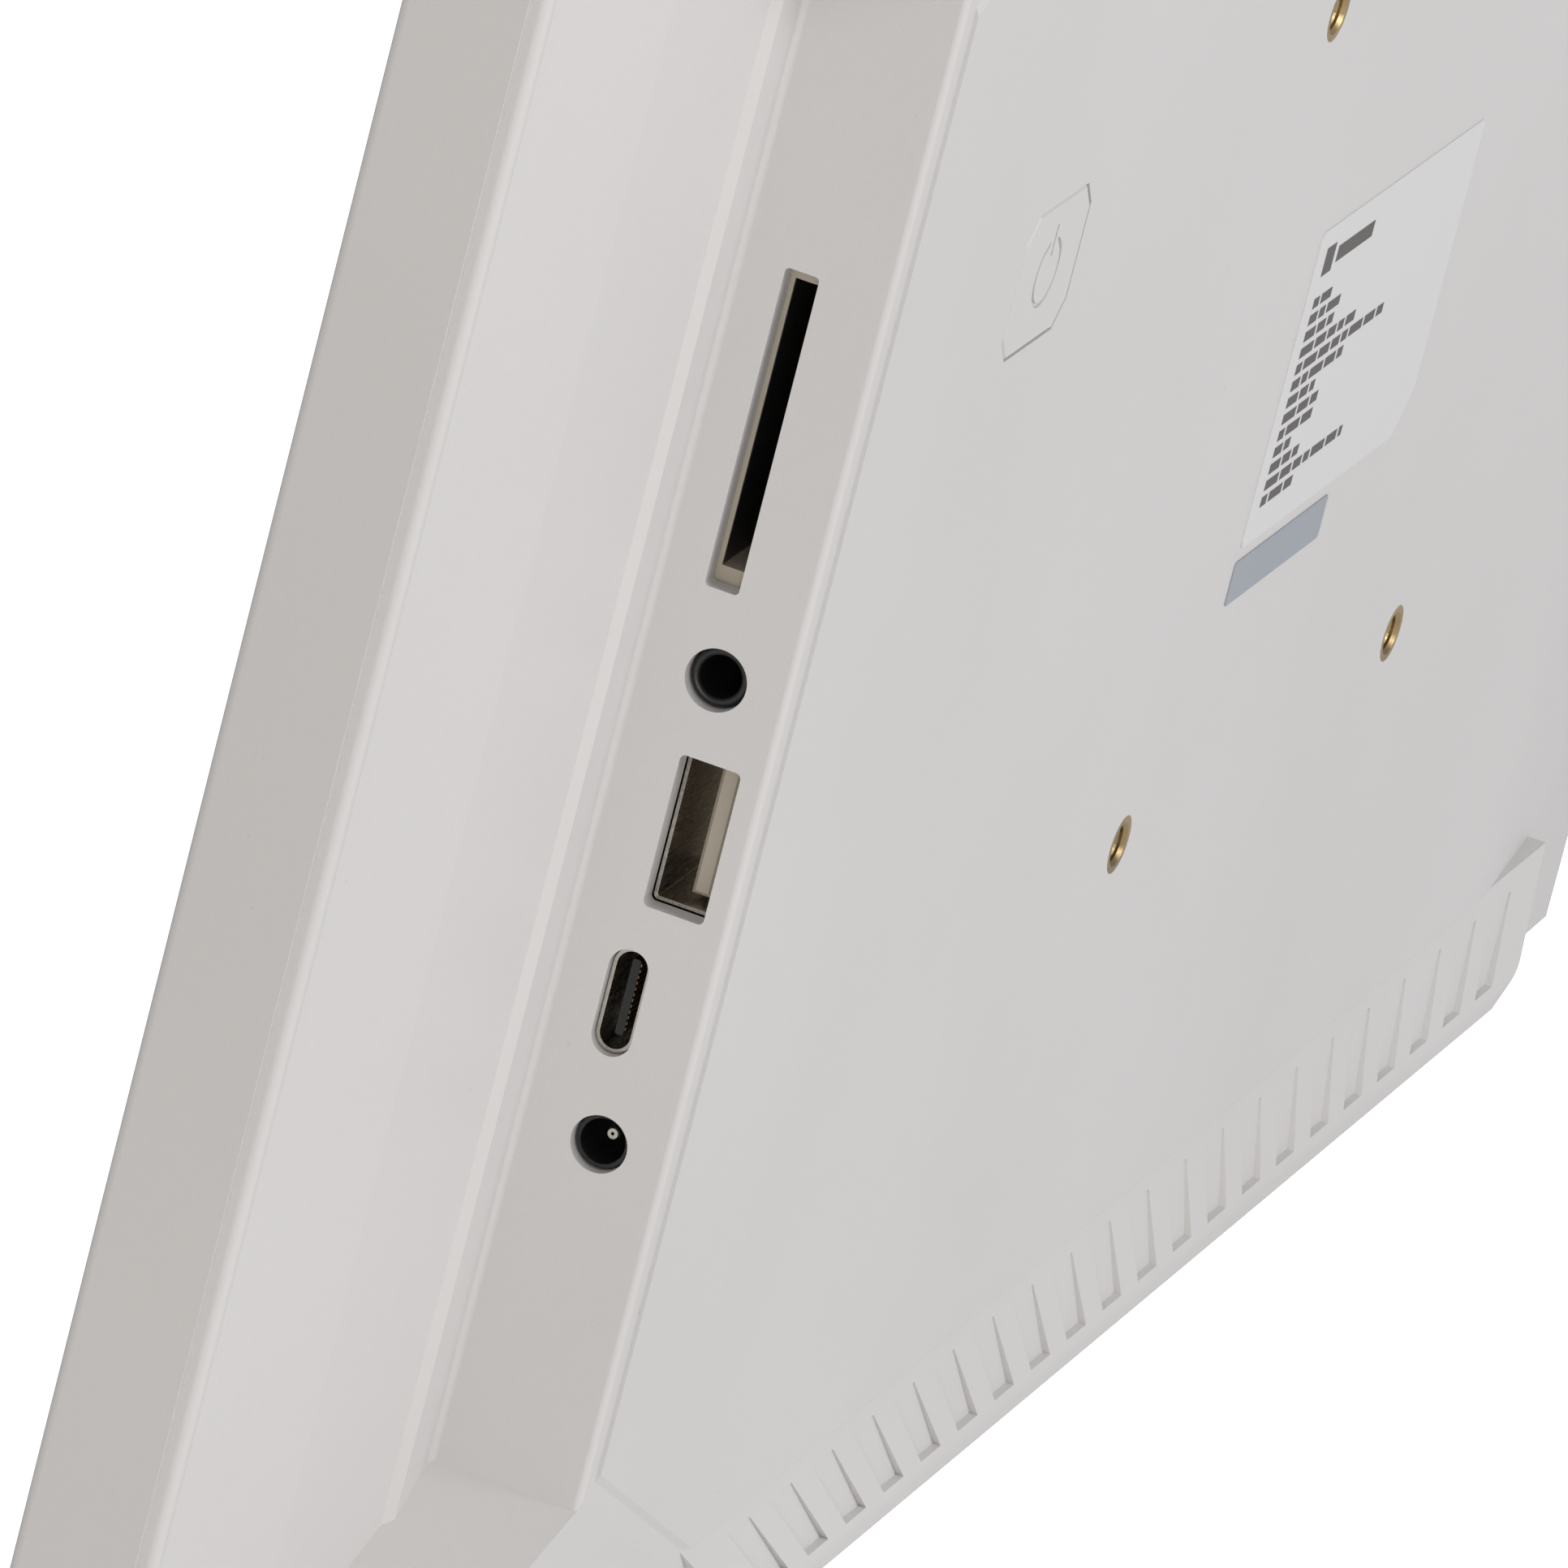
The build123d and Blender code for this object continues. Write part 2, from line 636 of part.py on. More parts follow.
# ---------------------------------------------------------------- LCD module
slab("lcd_cell", cell_width, cell_height, cell_back_y, cell_thickness)
slab("optical_films", guide_width, guide_area_height, film_back_y, film_thickness)
slab("light_guide", guide_width, guide_height, guide_back_y, guide_thickness,
     centre=(0, led_height / 2))
slab("reflector_sheet", guide_width, guide_area_height, reflector_back_y, sheet_thickness)

with BuildPart() as mould_frame:
    with BuildSketch(at_depth(guide_back_y)):
        Rectangle(mould_width, mould_height)
    extrude(amount=guide_back_y - mask_back_y)
    with BuildSketch(at_depth(guide_back_y)):
        Rectangle(guide_width + 2 * fit_gap, guide_area_height + 2 * fit_gap)
    extrude(amount=guide_back_y - mask_back_y, mode=Mode.SUBTRACT)
    with BuildSketch(at_depth(cell_back_y)):
        Rectangle(cell_width + 2 * fit_gap, cell_height + 2 * fit_gap)
    extrude(amount=cell_thickness, mode=Mode.SUBTRACT)
finish(mould_frame, "mould_frame")

with BuildPart() as led_bar:
    with BuildSketch(at_depth(guide_back_y)):
        with Locations((0, -guide_area_height / 2 + led_strip / 2)):
            Rectangle(guide_width, led_strip)
        with Locations((0, -guide_area_height / 2 + led_strip + led_size / 2)):
            with GridLocations(guide_width / led_count, 0, led_count, 1):
                Rectangle(2 * led_size, led_size)
    extrude(amount=guide_thickness)
finish(led_bar, "led_bar")

with BuildPart() as lcd_tray:
    with BuildSketch(at_depth(tray_back_y)):
        Rectangle(tray_width, tray_height)
    extrude(amount=tray_back_y - mask_back_y - 0.1)
    with BuildSketch(at_depth(reflector_back_y)):
        Rectangle(tray_width - 2 * tray_thickness, tray_height - 2 * tray_thickness)
    extrude(amount=reflector_back_y - mask_back_y, mode=Mode.SUBTRACT)
finish(lcd_tray, "lcd_tray")

with BuildPart() as lcd_brackets:
    with BuildSketch(at_depth(tray_back_y + bracket_thickness)):
        for x, z in bracket_places:
            inner_x = tray_width / 2 - bracket_lap
            outer_x = bracket_x + post_radius - 0.4
            with Locations(((inner_x + outer_x) / 2 * (1 if x > 0 else -1), z)):
                RectangleRounded(outer_x - inner_x, bracket_height, 1.5)
        with Locations(*bracket_places):
            Circle(bracket_screw_radius + 0.15, mode=Mode.SUBTRACT)
    extrude(amount=bracket_thickness)
finish(lcd_brackets, "lcd_brackets")


def screws(name, places, seat, facing, shank_radius, head_radius, head_height, length):
    """Group of pan-head screws; facing 1 drives towards +Y, -1 towards the front."""
    with BuildPart() as group:
        with BuildSketch(at_depth(seat)):
            with Locations(*places):
                Circle(head_radius)
        extrude(amount=facing * head_height)
        rims = group.edges().group_by(Axis.Y)[0 if facing > 0 else -1]
        fillet(rims, head_height * 0.4)
        with BuildSketch(at_depth(seat)):
            with Locations(*places):
                Circle(shank_radius)
        extrude(amount=-facing * length)
        with BuildSketch(at_depth(seat - facing * head_height)):
            with Locations(*places):
                Rectangle(head_radius, 0.5)
                Rectangle(0.5, head_radius)
        extrude(amount=-facing * head_height * 0.5, mode=Mode.SUBTRACT)
    finish(group, name)


screws("bracket_screws", bracket_places, tray_back_y + bracket_thickness, -1,
       bracket_screw_radius - 0.25, bracket_head_radius, bracket_head, bracket_thickness + 4)
screws("board_screws", board_holes, board_front, 1,
       screw_radius - 0.25, screw_head_radius, screw_head, board_thickness + screw_bite - 1)
screws("speaker_screws", speaker_ears, ear_back_y - ear_thickness, 1,
       screw_radius - 0.25, screw_head_radius, screw_head, ear_thickness + screw_bite - 1)

with BuildPart() as timing_board:
    with BuildSketch(at_depth(tray_back_y + timing_thickness)):
        with Locations((timing_x, timing_z)):
            Rectangle(timing_length, timing_height)
    extrude(amount=timing_thickness)
    with BuildSketch(at_depth(tray_back_y + timing_thickness + 1)):
        with Locations((timing_x, timing_z), (timing_x - 30, timing_z), (timing_x - 48, timing_z)):
            Rectangle(8, 6)
    extrude(amount=1)
    with BuildSketch(at_depth(tray_back_y + timing_thickness + plug_height)):
        with Locations((cable_x, timing_z)):
            Rectangle(cable_width + 3, 5)
    extrude(amount=plug_height)
finish(timing_board, "timing_board")

# ---------------------------------------------------------------- main board
with BuildPart() as main_board:
    with BuildSketch(at_depth(board_back)):
        with Locations(((board_left + board_right) / 2, (board_top + board_bottom) / 2)):
            Rectangle(board_width, board_top - board_bottom)
        with Locations(*board_holes):
            Circle(screw_radius + 0.1, mode=Mode.SUBTRACT)
    extrude(amount=board_thickness)
finish(main_board, "main_board")


def board_parts(name, places, height, back=board_back, front=False):
    """Block parts soldered to the main board, each (x, z, width, height on the board)."""
    with BuildPart() as group:
        for x, z, width, tall in places:
            level = board_front if front else back + height
            with BuildSketch(at_depth(level)):
                with Locations((x, z)):
                    RectangleRounded(width, tall, 0.3)
            extrude(amount=height)
    finish(group, name)


board_parts("processor", [(chip_x, chip_z, 15, 15)], chip_height)
board_parts("memory_chips", [(chip_x - 18, chip_z + 9, 11, 8), (chip_x - 18, chip_z - 3, 11, 8),
                             (chip_x - 18, chip_z - 14, 12, 9)], 1.0)
board_parts("wifi_module", [(wifi_x, wifi_z, 14, 16)], 2.2)
board_parts("power_coils", [(118, -27, 7, 7), (118, -36, 7, 7), (106, -38, 6, 6)], 3.0)
board_parts("lead_sockets", [(lead_x - 8, board_bottom + 3.5, 5, 5),
                             (lead_x + 8, board_bottom + 3.5, 5, 5)], 3.4)
board_parts("display_socket", [(cable_x, board_bottom + 16, cable_width + 3, 5)], plug_height,
            front=True)

with BuildPart() as capacitors:
    for x, z in ((112, -45), (120, -45), (126, -36), (110, -28)):
        with BuildSketch(at_depth(board_back + can_height)):
            with Locations((x, z)):
                Circle(2.5)
        extrude(amount=can_height)
    fillet(capacitors.edges().group_by(Axis.Y)[-1], 0.4)
finish(capacitors, "capacitors")

with BuildPart() as heat_spreader:
    with BuildSketch(at_depth(board_back + chip_height + spreader_thickness)):
        with Locations((chip_x, chip_z)):
            RectangleRounded(spreader_size, spreader_size, 1)
    extrude(amount=spreader_thickness)
    with BuildSketch(at_depth(board_back + chip_height + spreader_thickness + fin_height)):
        with Locations((chip_x, chip_z)):
            with GridLocations(spreader_size / 7, 0, 7, 1):
                Rectangle(0.8, spreader_size - 2)
    extrude(amount=fin_height)
finish(heat_spreader, "heat_spreader")

# ---------------------------------------------------------------- sockets on the port side
socket_back_x = board_right
jack_mouth_x = port_wall_x - jack_recess
usb_a_mouth_x = port_wall_x - usb_a_recess
usb_c_mouth_x = port_wall_x - usb_c_recess
dc_mouth_x = port_wall_x - dc_recess

with BuildPart() as sd_socket_base:
    with BuildSketch(at_side(socket_back_x - sd_length)):
        with Locations(((board_back + sd_lid_y) / 2, sd_z)):
            Rectangle(sd_lid_y - board_back, sd_width)
    extrude(amount=sd_length)
    with BuildSketch(at_side(socket_back_x - sd_length + 1)):
        with Locations((sd_y, sd_z)):
            Rectangle(sd_lid_y - board_back, card_width)
    extrude(amount=sd_length, mode=Mode.SUBTRACT)
    with BuildSketch(at_side(socket_back_x - sd_length)):
        with Locations((board_back + sd_floor / 2, sd_z)):
            Rectangle(sd_floor, sd_width)
    extrude(amount=sd_length)
finish(sd_socket_base, "sd_socket_base")

with BuildPart() as sd_socket_shell:
    with BuildSketch(at_side(socket_back_x - sd_length)):
        with Locations(((board_back + sd_lid_y + metal) / 2, sd_z)):
            Rectangle(sd_lid_y + metal - board_back, sd_width + 2 * metal)
        with Locations(((board_back + sd_lid_y) / 2 - 0.5, sd_z)):
            Rectangle(sd_lid_y - board_back + 1, sd_width, mode=Mode.SUBTRACT)
    extrude(amount=sd_length)
    # sprung tongues pressed out of the lid, bent down towards the card
    with BuildSketch(at_depth(sd_lid_y + metal)):
        with Locations((socket_back_x - 5, sd_z)):
            with GridLocations(0, 7.5, 1, 3):
                Rectangle(6, 2.4)
        with Locations((socket_back_x - 5.5, sd_z)):
            with GridLocations(0, 7.5, 1, 3):
                Rectangle(5, 1.6, mode=Mode.SUBTRACT)
    extrude(amount=metal, mode=Mode.SUBTRACT)
finish(sd_socket_shell, "sd_socket_shell")

with BuildPart() as sd_slider:
    with BuildSketch(at_side(socket_back_x - sd_length + 1 + card_travel + 0.2)):
        with Locations(((board_back + sd_floor + sd_lid_y) / 2, sd_z)):
            Rectangle(sd_lid_y - board_back - sd_floor - 0.2, card_width - 0.4)
    extrude(amount=slider_length)
    with BuildSketch(at_depth(sd_lid_y - 0.1)):
        with Locations((socket_back_x - sd_length + 1 + card_travel + 0.2 + slider_length, sd_z)):
            Rectangle(3, card_width - 6)
    extrude(amount=sd_lid_y - board_back, mode=Mode.SUBTRACT)
finish(sd_slider, "sd_slider")

with BuildPart() as audio_jack:
    with BuildSketch(at_side(socket_back_x - jack_length)):
        with Locations(((board_back + jack_top_y) / 2, jack_z)):
            Rectangle(jack_top_y - board_back, jack_width)
    extrude(amount=jack_length)
    with BuildSketch(at_side(socket_back_x)):
        with Locations((jack_y, jack_z)):
            Circle(jack_hole_radius - 0.15)
    extrude(amount=jack_mouth_x - socket_back_x)
    with BuildSketch(at_side(jack_mouth_x)):
        with Locations((jack_y, jack_z)):
            Circle(jack_bore_radius)
    extrude(amount=-jack_bore_length, mode=Mode.SUBTRACT)
finish(audio_jack, "audio_jack")

with BuildPart() as usb_a_shell:
    with BuildSketch(at_side(usb_a_mouth_x - usb_a_depth)):
        with Locations((usb_a_y, usb_a_z)):
            RectangleRounded(usb_a_height - fit_gap, usb_a_length - fit_gap, 0.45)
            RectangleRounded(
                usb_a_height - fit_gap - 2 * metal, usb_a_length - fit_gap - 2 * metal, 0.2,
                mode=Mode.SUBTRACT,
            )
    extrude(amount=usb_a_depth)
    # legs down to the board
    with BuildSketch(at_side(usb_a_mouth_x - usb_a_depth + 3)):
        leg_top = usb_a_y - (usb_a_height - fit_gap) / 2 + metal
        for side in (-1, 1):
            with Locations(((board_back + leg_top) / 2,
                            usb_a_z + side * (usb_a_length - fit_gap - metal) / 2)):
                Rectangle(leg_top - board_back, metal)
    extrude(amount=3)
finish(usb_a_shell, "usb_a_shell")

with BuildPart() as usb_a_tongue:
    with BuildSketch(at_side(usb_a_mouth_x - usb_a_depth)):
        with Locations((usb_a_y, usb_a_z)):
            Rectangle(usb_a_height - fit_gap - 2 * metal - 0.1,
                      usb_a_length - fit_gap - 2 * metal - 0.1)
    extrude(amount=3)
    with BuildSketch(at_side(usb_a_mouth_x - usb_a_depth + 3)):
        with Locations((usb_a_y + 0.85, usb_a_z)):
            Rectangle(1.7, usb_a_length - 2)
    extrude(amount=usb_a_depth - 4.5)
    chamfer(usb_a_tongue.edges().group_by(Axis.X)[-1], 0.3)
finish(usb_a_tongue, "usb_a_tongue")

with BuildPart() as usb_c_shell:
    with BuildSketch(at_side(usb_c_mouth_x - usb_c_depth)):
        with Locations((usb_c_y, usb_c_z)):
            SlotOverall(usb_c_length - fit_gap, usb_c_height - fit_gap, rotation=90)
            SlotOverall(usb_c_length - fit_gap - 2 * metal, usb_c_height - fit_gap - 2 * metal,
                        rotation=90, mode=Mode.SUBTRACT)
    extrude(amount=usb_c_depth)
    with BuildSketch(at_side(usb_c_mouth_x - usb_c_depth)):
        with Locations(((board_back + usb_c_y - 1.3) / 2, usb_c_z - 2.5),
                       ((board_back + usb_c_y - 1.3) / 2, usb_c_z + 2.5)):
            Rectangle(usb_c_y - 1.3 - board_back, metal)
    extrude(amount=3)
finish(usb_c_shell, "usb_c_shell")

with BuildPart() as usb_c_tongue:
    with BuildSketch(at_side(usb_c_mouth_x - usb_c_depth)):
        with Locations((usb_c_y, usb_c_z)):
            SlotOverall(usb_c_length - fit_gap - 2 * metal - 0.1,
                        usb_c_height - fit_gap - 2 * metal - 0.1, rotation=90)
    extrude(amount=2.5)
    with BuildSketch(at_side(usb_c_mouth_x - usb_c_depth + 2.5)):
        with Locations((usb_c_y, usb_c_z)):
            RectangleRounded(0.7, usb_c_length - 2.6, 0.2)
    extrude(amount=usb_c_depth - 3.5)
finish(usb_c_tongue, "usb_c_tongue")

with BuildPart() as dc_jack:
    with BuildSketch(at_side(socket_back_x - dc_length)):
        with Locations(((board_back + dc_top_y) / 2, dc_z)):
            Rectangle(dc_top_y - board_back, dc_width)
    extrude(amount=dc_length)
    with BuildSketch(at_side(socket_back_x)):
        with Locations((dc_y, dc_z)):
            Circle(dc_hole_radius - 0.15)
    extrude(amount=dc_mouth_x - socket_back_x)
    with BuildSketch(at_side(dc_mouth_x)):
        with Locations((dc_y, dc_z)):
            Circle(dc_bore_radius)
    extrude(amount=-dc_bore_length, mode=Mode.SUBTRACT)
finish(dc_jack, "dc_jack")

with BuildPart() as dc_pin:
    with BuildSketch(at_side(dc_mouth_x - dc_bore_length)):
        with Locations((dc_y, dc_z)):
            Circle(dc_pin_radius)
    extrude(amount=dc_bore_length + dc_recess - dc_pin_recess)
    chamfer(dc_pin.edges().group_by(Axis.X)[-1], 0.12)
    with BuildSketch(at_side(port_wall_x - dc_pin_recess)):
        with Locations((dc_y, dc_z)):
            Circle(dc_pin_eye)
    extrude(amount=-2, mode=Mode.SUBTRACT)
finish(dc_pin, "dc_pin")

# ---------------------------------------------------------------- speakers
for side, (x, z) in zip(("left", "right"), speaker_places):
    with BuildPart() as speaker_box:
        with BuildSketch(at_depth(speaker_back_y)):
            with Locations((x, z)):
                RectangleRounded(speaker_length, speaker_width, 2)
        extrude(amount=speaker_depth)
        with BuildSketch(at_depth(ear_back_y)):
            with Locations((x, z)):
                SlotOverall(speaker_length + 2 * speaker_ear, ear_width)
                with GridLocations(speaker_length + speaker_ear, 0, 2, 1):
                    Circle(screw_radius + 0.1, mode=Mode.SUBTRACT)
        extrude(amount=ear_thickness)
        # recess of the driver, on the front side
        with BuildSketch(at_depth(speaker_back_y - speaker_depth)):
            with Locations((x, z)):
                SlotOverall(speaker_length - 14, speaker_width - 4)
        extrude(amount=-2, mode=Mode.SUBTRACT)
    finish(speaker_box, f"speaker_box_{side}")
    with BuildPart() as speaker_cone:
        with BuildSketch(at_depth(speaker_back_y - speaker_depth + 2)):
            with Locations((x, z)):
                SlotOverall(speaker_length - 14.2, speaker_width - 4.2)
        extrude(amount=1)
        with BuildSketch(at_depth(speaker_back_y - speaker_depth + 1)):
            with Locations((x, z)):
                SlotOverall(speaker_length - 20, speaker_width - 9)
        extrude(amount=0.5)
    finish(speaker_cone, f"speaker_cone_{side}")

# ---------------------------------------------------------------- leads and antenna
cable_start = (board_front - plug_height, board_bottom + 16)
cable_level = tray_back_y + timing_thickness + plug_height
with BuildPart() as display_cable:
    with BuildSketch(at_side(cable_x - cable_width / 2)):
        with BuildLine():
            Polyline(
                (cable_start[0], cable_start[1] + 2.4),
                (cable_start[0] - cable_thickness, cable_start[1] + 2.4),
                (cable_start[0] - cable_thickness, cable_start[1] - 9),
                (cable_level, cable_start[1] - cable_drop),
                (cable_level, timing_z - 2.4),
                (cable_level + cable_thickness, timing_z - 2.4),
                (cable_level + cable_thickness, cable_start[1] - cable_drop + 0.2),
                (cable_start[0], cable_start[1] - 8.8),
                close=True,
            )
        make_face()
    extrude(amount=cable_width)
finish(display_cable, "display_cable")


def lead(name, points, radius, bends):
    """Round lead along straight runs joined by arcs."""
    with BuildPart() as wire:
        with BuildLine() as path:
            FilletPolyline(*points, radius=bends)
        with BuildSketch(Plane(origin=path.line @ 0, z_dir=path.line % 0)):
            Circle(radius)
        sweep()
    finish(wire, name)


lead_y = board_back + 1.7
lead_top = board_bottom + 1
speaker_top = speaker_z + speaker_width / 2
drop = lead_top - speaker_top
lead("speaker_lead_right",
     [(lead_x + 8, lead_y, lead_top), (lead_x + 8, lead_y, lead_top - 0.3 * drop),
      (speaker_x + 6, lead_y, lead_top - 0.6 * drop), (speaker_x + 6, lead_y, speaker_top)],
     lead_radius, 0.15 * drop)
lead("speaker_lead_left",
     [(lead_x - 8, lead_y, lead_top), (lead_x - 8, lead_y, lead_top - 0.4 * drop),
      (20, lead_y, lead_top - 0.5 * drop), (-40, lead_y, lead_top - 0.3 * drop),
      (-speaker_x, lead_y, lead_top - 0.5 * drop), (-speaker_x, lead_y, speaker_top)],
     lead_radius, [0.2 * drop, 2 * drop, 3 * drop, 0.25 * drop])

with BuildPart() as antenna:
    with BuildSketch(at_depth(inner_y)):
        with Locations((antenna_x, antenna_z)):
            RectangleRounded(42, 9, 1)
    extrude(amount=0.3)
finish(antenna, "antenna")
lead("antenna_lead",
     [(wifi_x, board_back + 2.9, wifi_z + 4), (wifi_x, board_back + 2.9, board_top + 4),
      (antenna_x + 12, inner_y - 0.3 - lead_radius, antenna_z)], lead_radius, 5)

# ---------------------------------------------------------------- labels
with BuildPart() as rating_label:
    with BuildSketch(at_depth(label_thickness)):
        with Locations((0.9, 0.1)):
            Rectangle(45.2, 28.6)
        chamfer(vertices().sort_by(Axis.X)[:2].sort_by(Axis.Y)[0], 3.7)
        fillet(vertices(), 0.8)
    extrude(amount=label_thickness)
finish(rating_label, "rating_label")

with BuildPart() as serial_label:
    with BuildSketch(at_depth(label_thickness)):
        with Locations((11.0, -17.4)):
            RectangleRounded(25.4, 4.0, 0.4)
    extrude(amount=label_thickness)
finish(serial_label, "serial_label")
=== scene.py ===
"""Digital photo frame, 15.6 inch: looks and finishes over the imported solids, in metres.

It follows the frame as it is put together: moulded housing, power button, side sockets,
wall-mount inserts, labels, front glass and panel, and then what is sealed inside.
"""
from math import cos, pi, radians, sin

import bpy
from mathutils import Matrix, Vector


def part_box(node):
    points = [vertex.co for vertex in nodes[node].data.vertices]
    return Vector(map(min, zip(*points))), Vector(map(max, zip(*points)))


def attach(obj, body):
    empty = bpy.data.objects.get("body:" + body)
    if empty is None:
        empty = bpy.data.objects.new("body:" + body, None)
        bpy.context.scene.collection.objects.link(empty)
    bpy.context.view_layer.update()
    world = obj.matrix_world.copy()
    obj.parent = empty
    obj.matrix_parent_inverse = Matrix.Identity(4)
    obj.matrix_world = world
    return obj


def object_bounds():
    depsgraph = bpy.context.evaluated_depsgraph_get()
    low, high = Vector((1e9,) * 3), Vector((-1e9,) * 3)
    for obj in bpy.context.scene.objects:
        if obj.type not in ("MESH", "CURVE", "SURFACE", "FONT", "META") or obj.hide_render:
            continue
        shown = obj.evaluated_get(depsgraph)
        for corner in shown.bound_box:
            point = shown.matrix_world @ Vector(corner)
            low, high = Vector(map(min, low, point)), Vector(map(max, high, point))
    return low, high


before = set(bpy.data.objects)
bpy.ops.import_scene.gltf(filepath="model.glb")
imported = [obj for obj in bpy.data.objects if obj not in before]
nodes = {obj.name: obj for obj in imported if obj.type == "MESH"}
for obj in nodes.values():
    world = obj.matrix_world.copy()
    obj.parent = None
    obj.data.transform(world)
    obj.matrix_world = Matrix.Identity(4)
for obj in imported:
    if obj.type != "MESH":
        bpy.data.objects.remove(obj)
solid_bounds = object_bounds()
mm = 0.001


# ------------------------------------------------------------------ moulded housing
# The rear cover and the front frame are injection-moulded in off-white ABS with a fine
# spark-eroded texture, snapped together along a tight seam. They have no paint.
def shader_group(name, inputs, outputs):
    """New shader node group with float or colour sockets, and its two end nodes."""
    tree = bpy.data.node_groups.new(name, "ShaderNodeTree")
    for label, value in inputs:
        kind = "NodeSocketColor" if isinstance(value, tuple) else "NodeSocketFloat"
        socket = tree.interface.new_socket(label, in_out="INPUT", socket_type=kind)
        socket.default_value = value
    for label, kind in outputs:
        tree.interface.new_socket(label, in_out="OUTPUT", socket_type=kind)
    return tree, tree.nodes.new("NodeGroupInput"), tree.nodes.new("NodeGroupOutput")


def link(tree, start, out, end, into):
    """Wire one node's output to another node's input."""
    tree.links.new(start.outputs[out], end.inputs[into])


def noise(tree, scale, detail=3.0, stretch=None):
    """Noise on object coordinates, with its cells per metre; stretch flattens it on an axis."""
    place = tree.nodes.new("ShaderNodeTexCoord")
    pattern = tree.nodes.new("ShaderNodeTexNoise")
    pattern.inputs["Scale"].default_value = scale
    pattern.inputs["Detail"].default_value = detail
    if stretch:
        mapping = tree.nodes.new("ShaderNodeMapping")
        mapping.inputs["Scale"].default_value = stretch
        link(tree, place, "Object", mapping, "Vector")
        link(tree, mapping, "Vector", pattern, "Vector")
    else:
        link(tree, place, "Object", pattern, "Vector")
    return pattern


def spread(tree, source, out, low_in, high_in, low, high):
    """Map Range node from one output."""
    ramp = tree.nodes.new("ShaderNodeMapRange")
    ramp.inputs["From Min"].default_value = low_in
    ramp.inputs["From Max"].default_value = high_in
    ramp.inputs["To Min"].default_value = low
    ramp.inputs["To Max"].default_value = high
    link(tree, source, out, ramp, "Value")
    return ramp


def make_moulded_surface():
    """Moulded plastic: faint cloudy tint, fine even grain, gloss that drifts a little."""
    tree, given, result = shader_group(
        "moulded_surface",
        [("Colour", (0.6, 0.6, 0.6, 1.0)), ("Shade", (0.5, 0.5, 0.5, 1.0)),
         ("Roughness", 0.45), ("Drift", 0.08), ("Grain", 3200.0)],
        [("Colour", "NodeSocketColor"), ("Roughness", "NodeSocketFloat"),
         ("Height", "NodeSocketFloat")],
    )
    cloud = noise(tree, 14.0, 4.0)
    tint = tree.nodes.new("ShaderNodeMix")
    tint.data_type = "RGBA"
    amount = spread(tree, cloud, "Fac", 0.3, 0.7, 0.0, 1.0)
    link(tree, amount, "Result", tint, "Factor")
    tree.links.new(given.outputs["Colour"], tint.inputs[6])
    tree.links.new(given.outputs["Shade"], tint.inputs[7])
    tree.links.new(tint.outputs[2], result.inputs["Colour"])
    grain = noise(tree, 3200.0, 2.0)
    link(tree, given, "Grain", grain, "Scale")
    link(tree, grain, "Fac", result, "Height")
    drift = spread(tree, cloud, "Fac", 0.3, 0.7, -1.0, 1.0)
    scaled = tree.nodes.new("ShaderNodeMath")
    scaled.operation = "MULTIPLY_ADD"
    link(tree, drift, "Result", scaled, 0)
    link(tree, given, "Drift", scaled, 1)
    link(tree, given, "Roughness", scaled, 2)
    link(tree, scaled, "Value", result, "Roughness")
    return tree


def make_dust():
    """Mask of sparse specks in patches, as handling leaves on a light housing."""
    tree, given, result = shader_group(
        "dust_specks", [("Amount", 0.5)], [("Mask", "NodeSocketFloat")]
    )
    specks = noise(tree, 900.0, 2.0)
    patches = noise(tree, 30.0, 2.0)
    sparse = spread(tree, specks, "Fac", 0.74, 0.8, 0.0, 1.0)
    where = spread(tree, patches, "Fac", 0.5, 0.65, 0.0, 1.0)
    both = tree.nodes.new("ShaderNodeMath")
    both.operation = "MULTIPLY"
    link(tree, sparse, "Result", both, 0)
    link(tree, where, "Result", both, 1)
    final = tree.nodes.new("ShaderNodeMath")
    final.operation = "MULTIPLY"
    link(tree, both, "Value", final, 0)
    link(tree, given, "Amount", final, 1)
    link(tree, final, "Value", result, "Mask")
    return tree


moulded_surface = make_moulded_surface()
dust_specks = make_dust()


def new_material(name):
    """New node material, with its tree and its Principled shader."""
    material = bpy.data.materials.new(name)
    material.use_nodes = True
    tree = material.node_tree
    return material, tree, tree.nodes["Principled BSDF"]


def use_group(tree, group, **values):
    """Put a shader group into a material with its own input values."""
    node = tree.nodes.new("ShaderNodeGroup")
    node.node_tree = group
    for label, value in values.items():
        node.inputs[label].default_value = value
    return node


def relief(tree, source, shader, depth, strength=1.0):
    """Bump from a height output; depth is the real depth of the relief in metres."""
    bump = tree.nodes.new("ShaderNodeBump")
    bump.inputs["Strength"].default_value = strength
    bump.inputs["Distance"].default_value = depth
    link(tree, source, "Height", bump, "Height")
    link(tree, bump, "Normal", shader, "Normal")


